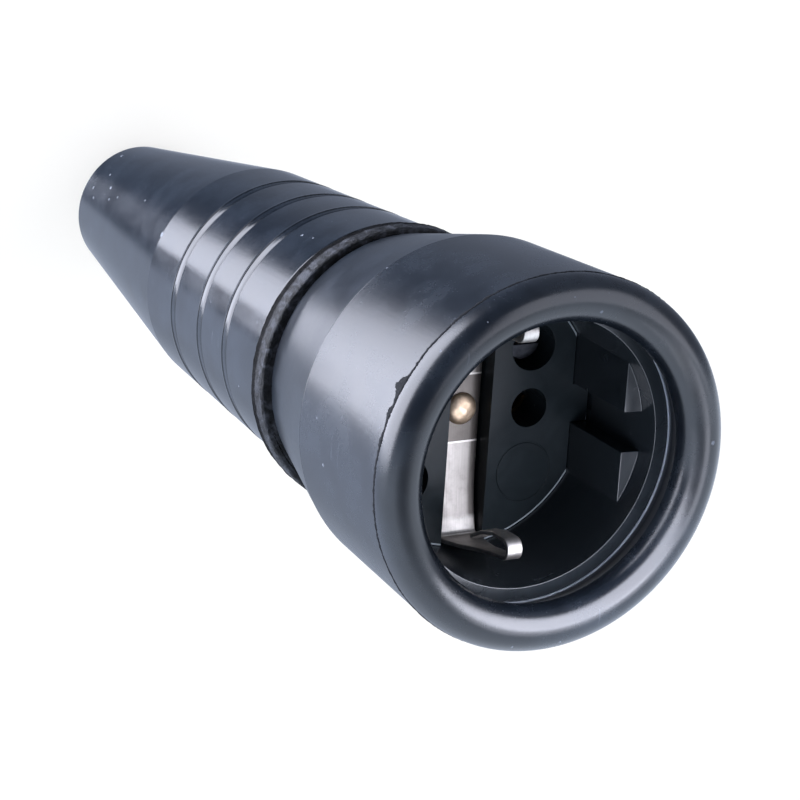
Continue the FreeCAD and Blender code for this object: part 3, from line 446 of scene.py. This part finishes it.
def black_rubber(name, gloss, scuffs):
    """Moulded black rubber: a smooth blue-black skin with a grey bloom in clouds of 7 mm, drag marks 0.5 mm apart
    along the mould's draw, hair scratches 0.15 mm wide, dust specks, and pale nicks at the places (x, y, z, radius)
    in mm. The gloss is the roughness of the clear skin and of the bloom. Where the attribute matt is 1 the mould left
    the skin unpolished, and where the edge attribute is 1 an edge is painted pale as a highlight."""
    material, tree, shader, place = finish(name, {"IOR": 1.5})
    bloom = add(tree, "ShaderNodeTexNoise", {"Vector": place, "Scale": 1 / 0.007, "Detail": 6.0, "Roughness": 0.62})
    pale = add(tree, "ShaderNodeMapRange", {"Value": bloom.outputs[0], "From Min": 0.35, "From Max": 0.7},
               interpolation_type="SMOOTHSTEP").outputs[0]
    drawn = add(tree, "ShaderNodeMapping", {"Vector": place, "Scale": (1.0, 1.0, 0.03)})
    drag = add(tree, "ShaderNodeTexNoise", {"Vector": drawn.outputs[0], "Scale": 1 / 0.0005, "Detail": 3.0})
    slanted = add(tree, "ShaderNodeMapping", {"Vector": place, "Rotation": (0.5, 0.9, 0.3), "Scale": (1.0, 0.02, 1.0)})
    hairs = add(tree, "ShaderNodeTexNoise", {"Vector": slanted.outputs[0], "Scale": 1 / 0.00035, "Detail": 2.0})
    scratch = add(tree, "ShaderNodeMapRange", {"Value": hairs.outputs[0], "From Min": 0.7, "From Max": 0.78})
    scratch = add(tree, "ShaderNodeMath", {0: scratch.outputs[0], 1: pale}, operation="MULTIPLY").outputs[0]
    cells = add(tree, "ShaderNodeTexVoronoi", {"Vector": place, "Scale": 1 / 0.0032})
    # Real dust is finer than this. It is drawn about 0.2 mm wide so that it still shows at this distance.
    near = add(tree, "ShaderNodeMapRange", {"Value": cells.outputs["Distance"], "From Min": 0.04, "From Max": 0.02})
    kept = add(tree, "ShaderNodeSeparateColor", {"Color": cells.outputs["Color"]})
    some = add(tree, "ShaderNodeMath", {0: kept.outputs[0], 1: 0.9}, operation="GREATER_THAN")
    speck = add(tree, "ShaderNodeMath", {0: near.outputs[0], 1: some.outputs[0]}, operation="MULTIPLY").outputs[0]
    ragged = add(tree, "ShaderNodeTexNoise", {"Vector": place, "Scale": 1 / 0.0004, "Detail": 3.0, "Distortion": 1.0})
    for x, y, z, radius in scuffs:
        away = add(tree, "ShaderNodeVectorMath", {0: place, 1: (x * mm, y * mm, z * mm)}, operation="DISTANCE")
        spot = add(tree, "ShaderNodeMapRange", {"Value": away.outputs["Value"], "From Min": radius * mm,
                                                "From Max": 0.0})
        torn = add(tree, "ShaderNodeMath", {0: spot.outputs[0], 1: ragged.outputs[0]}, operation="MULTIPLY")
        mark = add(tree, "ShaderNodeMapRange", {"Value": torn.outputs[0], "From Min": 0.2, "From Max": 0.4})
        speck = add(tree, "ShaderNodeMath", {0: speck, 1: mark.outputs[0]}, operation="MAXIMUM").outputs[0]
    skin = add(tree, "ShaderNodeMix", {0: pale, 6: linear("#0c1015"), 7: linear("#151a20")}, data_type="RGBA")
    lined = add(tree, "ShaderNodeMix", {0: scratch, 6: skin.outputs[2], 7: linear("#3c4149")}, data_type="RGBA")
    tone = add(tree, "ShaderNodeMix", {0: speck, 6: lined.outputs[2], 7: linear("#5b6068")}, data_type="RGBA")
    # Painted highlight: an edge marked by the attribute turns pale grey.
    worn_edge = add(tree, "ShaderNodeAttribute", attribute_name="worn_edge").outputs["Fac"]
    tone = add(tree, "ShaderNodeMix", {0: worn_edge, 6: tone.outputs[2], 7: linear("#9aa0a8")}, data_type="RGBA")
    dulled = add(tree, "ShaderNodeMapRange", {"Value": pale, "To Min": gloss[0], "To Max": gloss[1]})
    fine = add(tree, "ShaderNodeMath", {0: drag.outputs[0], 1: 0.03, 2: dulled.outputs[0]}, operation="MULTIPLY_ADD")
    rubbed = add(tree, "ShaderNodeMath", {0: scratch, 1: 0.15, 2: fine.outputs[0]}, operation="MULTIPLY_ADD")
    matt = add(tree, "ShaderNodeAttribute", attribute_name="matt").outputs["Fac"]
    unpolished = add(tree, "ShaderNodeMath", {0: matt, 1: 0.2, 2: rubbed.outputs[0]}, operation="MULTIPLY_ADD")
    shine = add(tree, "ShaderNodeMapRange", {"Value": matt, "To Min": 0.5, "To Max": 0.12})
    dull = add(tree, "ShaderNodeMix", {0: speck, 2: unpolished.outputs[0], 3: 0.7})
    lines = add(tree, "ShaderNodeBump", {"Height": drag.outputs[0], "Strength": 0.05, "Distance": 0.0001})
    relief = add(tree, "ShaderNodeBump", {"Height": ragged.outputs[0], "Strength": 0.012, "Distance": 0.0001,
                                          "Normal": lines.outputs[0]})
    tree.links.new(shine.outputs[0], shader.inputs["Specular IOR Level"])
    coat(tree, shader, tone, dull, relief)
    return material


shell_rubber = black_rubber("moulded_black_rubber", (0.22, 0.28), (
    (4.3, 21.9, 134.5, 0.5), (24.0, 1.4, 134.6, 0.6), (-25.5, -3.1, 114.5, 0.5), (-25.4, 2.7, 111.7, 0.3),
    (-19.2, 18.2, 132.9, 0.35), (-13.0, 21.4, 106.5, 0.4), (-5.3, -25.0, 134.0, 0.35), (2.2, -25.2, 134.2, 0.35)))
shell_steps = 400
lip_middle, lip_level, lip_wide, lip_high = 23.5, 131.3, 3.35, 3.4
bead = np.radians(np.linspace(-3, 183, 60))
bead = np.stack([lip_middle + lip_wide * np.cos(bead), lip_level + lip_high * np.sin(bead)], -1)
shell_line = np.concatenate([
    rounded([(17.2, 97.0, 0.3), (17.2, 96.2, 0.2), (17.8, 95.6, 0.2), (17.8, 93.1, 0.2), (17.2, 92.5, 0.2),
             (17.2, 88.3, 0.25), (20.26, 88.3, 0.45), (25.1, 106.3, 0.15), (25.08, 106.45, 0.1), (25.17, 106.6, 0.4),
             (26.85, 130.9, 0)], closed=False),
    bead[1:-1],
    rounded([(20.15, lip_level, 0), (21.146, 128.896, 0.5), (21.62, 127.45, 0.02), (21.42, 127.4, 0.14),
             (21.42, 127.1, 0.03), (22.3, 127.1, 0.05), (22.3, 121.9, 0.1), (21.3, 121.9, 0.1), (21.3, 101.6, 0.2),
             (19.2, 101.6, 0.2), (17.2, 97.0, 0)], closed=False)[:-1]])
r, z = shell_line.T
# The rear taper and the wall under the lip are left unpolished, and the small step on the cup's rim is painted pale as
# a highlight.
on_taper = (z > 88.2) & (z < 106.5) & (r > 20)
under_lip = (z > 127) & (r < 22)
matt = 0.25 * on_taper + np.clip((131.2 - z) / 0.8, 0, 1) * under_lip
worn_edge = np.exp(-((r - 21.45) / 0.14) ** 2 - ((z - 127.33) / 0.2) ** 2)
shell = surface("front_shell_moulded", turned(shell_line, shell_steps), shell_rubber, "rubber",
                matt=np.tile(matt, (shell_steps, 1)), worn_edge=np.tile(worn_edge, (shell_steps, 1)))
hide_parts("front_shell")

# --- Flash on the lip -------------------------------------------------------------------------
# The thin skirt of rubber squeezed out where the mould's two halves meet round the lip.
# It is trimmed by hand, so it is left as a ragged line with a torn place on one side, darkened partly by painted shade.

# Torn rubber: matt, and painted darker than the moulded skin as shade in the seam, broken into crumbs about 0.4 mm
# across.
torn_and_shaded_rubber, tree, shader, place = finish("torn_rubber_painted_shade", {"IOR": 1.5, "Specular IOR Level": 0.12})
crumb = add(tree, "ShaderNodeTexNoise", {"Vector": place, "Scale": 1 / 0.0004, "Detail": 4.0, "Roughness": 0.7})
tone = add(tree, "ShaderNodeMix", {0: crumb.outputs[0], 6: linear("#050608"), 7: linear("#121418")}, data_type="RGBA")
matt = add(tree, "ShaderNodeMapRange", {"Value": crumb.outputs[0], "To Min": 0.55, "To Max": 0.9})
relief = add(tree, "ShaderNodeBump", {"Height": crumb.outputs[0], "Strength": 0.8, "Distance": 0.0002})
coat(tree, shader, tone, matt, relief)

flash_steps = 2160
around = np.arange(flash_steps) * 2 * np.pi / flash_steps
random = np.random.default_rng(11)


def round_lip(count):
    """Random values from 0 to 1 at count places round the lip, blended linearly between them and closed to a ring."""
    return np.interp(around, np.linspace(0, 2 * np.pi, count + 1), np.resize(random.random(count), count + 1))


ragged = round_lip(420)
teeth = round_lip(1300)
wander = round_lip(60) - 0.5
tear = (np.exp(-((np.degrees(around) - 151.2) / 3.0) ** 2) + 0.35 * np.exp(-((np.degrees(around) - 159.0) / 2.0) ** 2)
        + 0.22 * np.exp(-((np.degrees(around) - 168.0) / 1.5) ** 2))
behind = 0.22 + 0.4 * ragged * ragged + 2.2 * tear * (0.4 + 0.35 * teeth + 0.25 * ragged)
front = 0.16 + 0.2 * teeth
stand = 0.07 + 0.09 * ragged * teeth + 0.06 * tear
station = np.array([-1.0, -0.66, -0.33, -0.1, 0.1, 0.5, 1.0])
lift = np.array([-0.06, 0.5, 0.8, 1.0, 1.0, 0.6, -0.06])
seam, outermost, root = 131.1, 26.95, 24.9
z = seam + 0.18 * wander[:, None] + np.where(station < 0, behind[:, None] * station, front[:, None] * station)
# It follows the shell's straight side up to the lip's level and the lip's own round above that.
on_side = 25.15 + (z - 106.5) * 1.7 / 24.8
on_lip = lip_middle + np.sqrt(np.maximum(lip_wide ** 2 - (z - lip_level) ** 2, 0))
r = np.minimum(np.where(z < lip_level, on_side, on_lip) + lift * stand[:, None], outermost)
flash = np.stack([r * np.cos(around)[:, None], r * np.sin(around)[:, None], z], -1)
under = np.stack([root * np.cos(around), root * np.sin(around), z[:, 3]], -1)[:, None]
surface("lip_flash", np.concatenate([flash, under], 1), torn_and_shaded_rubber, "rubber")

# --- Rear hood --------------------------------------------------------------------------------
# The cord hood behind the joint, moulded in the same rubber: three grip grooves, then a long cone
# that bends with the cord. It is sprung over the collar's other neck.
hood_rubber = black_rubber("moulded_black_rubber_scuffed", (0.14, 0.18), (
    (-4.5, 9.9, 3.0, 0.5), (-8.3, 8.1, 7.0, 0.45), (-10.0, 7.1, 11.0, 0.55), (-9.6, 5.2, 4.0, 0.5),
    (-10.5, 4.1, 6.0, 0.4), (-11.1, 5.8, 13.0, 0.4), (-10.9, 6.8, 16.0, 0.5), (-11.7, 9.5, 27.0, 0.4),
    (-15.4, 8.2, 41.0, 0.9), (-9.8, 17.2, 75.3, 0.5), (-9.5, 17.5, 78.2, 0.35)))
hood_steps = 312
cone_radius, cone_top, band_slope = 17.4, 41.1, 0.0694118
groove_places = (52.4, 62.7, 72.3)


def band(height):
    """The radius of the hood's bands in mm: the cone's at its top, plus the slope times the height above that."""
    return cone_radius + (height - cone_top) * band_slope


grooves = [corner for g in groove_places for corner in (
    (band(g - 2.0), g - 2.0, 0.4), (band(g - 1.62) + 0.04, g - 1.62, 0.05), (band(g - 1.55) - 0.1, g - 1.55, 0.03),
    (band(g) - 0.3, g - 0.8, 0.9), (band(g) - 0.7, g - 0.25, 0.08), (band(g) - 0.7, g, 0.05),
    (band(g), g + 0.12, 0.14))]
hood_line = rounded([(5.5, 0.0, 0.4), (9.4, 0.0, 0), (10.3, 0.0, 0.9), (cone_radius, cone_top, 0.8), *grooves,
                     (band(82.9), 82.9, 0.2), (19.65, 83.6, 0.3), (16.5, 83.6, 0.3), (16.5, 75.3, 0.2),
                     (17.1, 74.7, 0.2), (17.1, 72.2, 0.2), (16.5, 71.6, 0.2), (16.5, 66.0, 0.3), (14.4, 45.0, 0.5),
                     (5.5, 16.0, 0.5)])
hood = surface("rear_hood_moulded", turned(hood_line, hood_steps), hood_rubber, "rubber")
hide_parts("rear_hood")

# --- Studio -----------------------------------------------------------------------------------
# A pale floor and a white backdrop, a world with a white table on one side and a dark room on the other
# for the black rubber to reflect, and soft panels: a long one in three parts at the left, a small one
# behind the tail, two cards before the lip and a large weak one at the right.
scene = bpy.context.scene
scene.view_settings.view_transform = "Standard"

camera = bpy.data.objects.new("camera", bpy.data.cameras.new("camera"))
camera.data.lens, camera.data.sensor_width, camera.data.clip_start, camera.data.clip_end = 180.0, 36.0, 0.01, 50.0
axes = np.array([[0.87548, 0.06420, 0.47896], [0.09539, 0.94868, -0.30152], [-0.47374, 0.30967, 0.82443]])
camera.matrix_world = Matrix.Translation((-0.27256, 0.17393, 0.56409)) @ Matrix(axes.T.tolist()).to_4x4()
scene.collection.objects.link(camera)
scene.camera = camera

floor_mesh = bpy.data.meshes.new("floor")
reach, level = 6, -0.0002
floor_mesh.from_pydata([(-reach, -reach, level), (reach, -reach, level), (reach, reach, level), (-reach, reach, level)],
                       [], [(0, 1, 2, 3)])
# Floor paint: pale and matt. A glow keeps it pale where the lamps do not reach, and the light that falls on it adds the
# rest, so that the object's shadow shows.
floor_paint = bpy.data.materials.new("pale_floor_paint")
floor_paint.use_nodes = True
tree = floor_paint.node_tree
glow = add(tree, "ShaderNodeEmission", {"Color": linear("#ffffff"), "Strength": 0.6})
matt = add(tree, "ShaderNodeBsdfDiffuse", {"Color": linear("#9c988e")})
both = add(tree, "ShaderNodeAddShader", {0: glow.outputs[0], 1: matt.outputs[0]})
tree.links.new(both.outputs[0], tree.nodes["Material Output"].inputs["Surface"])
floor_mesh.materials.append(floor_paint)
floor = bpy.data.objects.new("floor", floor_mesh)
wall_sides, wall_radius, wall_foot, wall_high = 64, 5.5, -0.3, 8.0
turn = np.arange(wall_sides) * 2 * np.pi / wall_sides
wall = np.stack([wall_radius * np.cos(turn), wall_radius * np.sin(turn), 0 * turn + wall_foot], -1)
wall = np.concatenate([wall, wall + (0, 0, wall_high)])
side = np.arange(wall_sides)
after = (side + 1) % wall_sides
wall_mesh = bpy.data.meshes.new("white_backdrop")
wall_mesh.from_pydata(wall.tolist(), [], np.stack([side, side + wall_sides, after + wall_sides, after], -1).tolist())
# Backdrop paint: plain white that glows evenly, so that no shade falls on it.
wall_paint = bpy.data.materials.new("white_backdrop_paint")
wall_paint.use_nodes = True
tree = wall_paint.node_tree
glow = add(tree, "ShaderNodeEmission", {"Color": linear("#ffffff"), "Strength": 1.0})
tree.links.new(glow.outputs[0], tree.nodes["Material Output"].inputs["Surface"])
wall_mesh.materials.append(wall_paint)
backdrop = bpy.data.objects.new("white_backdrop", wall_mesh)
for sweep in (floor, backdrop):
    sweep.visible_diffuse = sweep.visible_glossy = sweep.visible_transmission = sweep.visible_shadow = False
    scene.collection.objects.link(sweep)

world = bpy.data.worlds.new("white_table_and_dark_room")
world.use_nodes = True
scene.world = world
tree = world.node_tree
toward = add(tree, "ShaderNodeSeparateXYZ", {0: add(tree, "ShaderNodeTexCoord").outputs["Generated"]})
right = add(tree, "ShaderNodeMapRange", {"Value": toward.outputs["X"], "From Min": -0.05, "From Max": 0.35})
left = add(tree, "ShaderNodeMapRange", {"Value": toward.outputs["X"], "From Min": -0.05, "From Max": -0.5})
near = add(tree, "ShaderNodeMapRange", {"Value": toward.outputs["Z"], "From Min": -0.85, "From Max": -0.2})
below = add(tree, "ShaderNodeMapRange", {"Value": toward.outputs["Y"], "From Min": -0.06, "From Max": -0.15},
            interpolation_type="SMOOTHSTEP")
room = add(tree, "ShaderNodeMix", {0: right.outputs[0], 6: (0.10, 0.13, 0.20, 1), 7: (0.29, 0.33, 0.43, 1)},
           data_type="RGBA")
table = add(tree, "ShaderNodeMix", {0: left.outputs[0], 6: (0.56, 0.63, 0.78, 1), 7: (1.2, 1.35, 1.75, 1)},
            data_type="RGBA")
front = add(tree, "ShaderNodeMix", {0: left.outputs[0], 6: (1.7, 1.9, 2.25, 1), 7: (1.9, 2.15, 2.6, 1)},
            data_type="RGBA")
table = add(tree, "ShaderNodeMix", {0: near.outputs[0], 6: table.outputs[2], 7: front.outputs[2]}, data_type="RGBA")
ahead = add(tree, "ShaderNodeMapRange", {"Value": toward.outputs["Z"], "From Min": 0.7, "From Max": 0.95})
table = add(tree, "ShaderNodeMix", {0: ahead.outputs[0], 6: table.outputs[2], 7: (0.45, 0.5, 0.6, 1)}, data_type="RGBA")
seen = add(tree, "ShaderNodeMix", {0: below.outputs[0], 6: room.outputs[2], 7: table.outputs[2]}, data_type="RGBA")
tree.links.new(seen.outputs[2], tree.nodes["Background"].inputs["Color"])


def softbox(name, centre, facing, long_way, size, radiance):
    """A rectangular lamp in cool white: its power is radiance times area times pi, so that it shows that radiance."""
    lamp = bpy.data.lights.new(name, "AREA")
    lamp.shape, lamp.size, lamp.size_y = "RECTANGLE", size[0], size[1]
    lamp.energy = radiance * size[0] * size[1] * np.pi
    lamp.color = linear("#edf0ff")[:3]
    panel = bpy.data.objects.new(name, lamp)
    back = -Vector(facing).normalized()
    side = (Vector(long_way) - back * Vector(long_way).dot(back)).normalized()
    panel.matrix_world = Matrix.Translation(centre) @ Matrix((side, back.cross(side), back)).transposed().to_4x4()
    panel.visible_camera = False
    scene.collection.objects.link(panel)


softbox("left_panel_far", (-0.30, 0.375, -0.725), (1, 0, 0), (0, 0, 1), (0.45, 0.65), 6.3)
softbox("left_panel", (-0.30, 0.32, -0.375), (1, 0, 0), (0, 0, 1), (0.25, 0.7), 9.2)
softbox("left_panel_near", (-0.30, 0.32, -0.025), (1, 0, 0), (0, 0, 1), (0.45, 0.7), 12.5)
softbox("tail_panel", (-0.022, -0.03, -1.0), (0, 0, 1), (0, 1, 0), (0.20, 0.09), 10.0)
softbox("lip_card", (0.0128, -0.0197, 0.1595), (0.3, -0.75, -0.6), (0.707, 0.707, 0), (0.023, 0.038), 14.0)
softbox("lip_card_low", (0.052, -0.041, 0.2085), (0.5, -0.5, -0.707), (0.707, 0.707, 0), (0.065, 0.1), 5.0)
softbox("right_fill", (0.35, 0.14, 0.60), (-0.57, -0.23, -0.79), (0, 1, 0), (0.50, 0.55), 2.7)
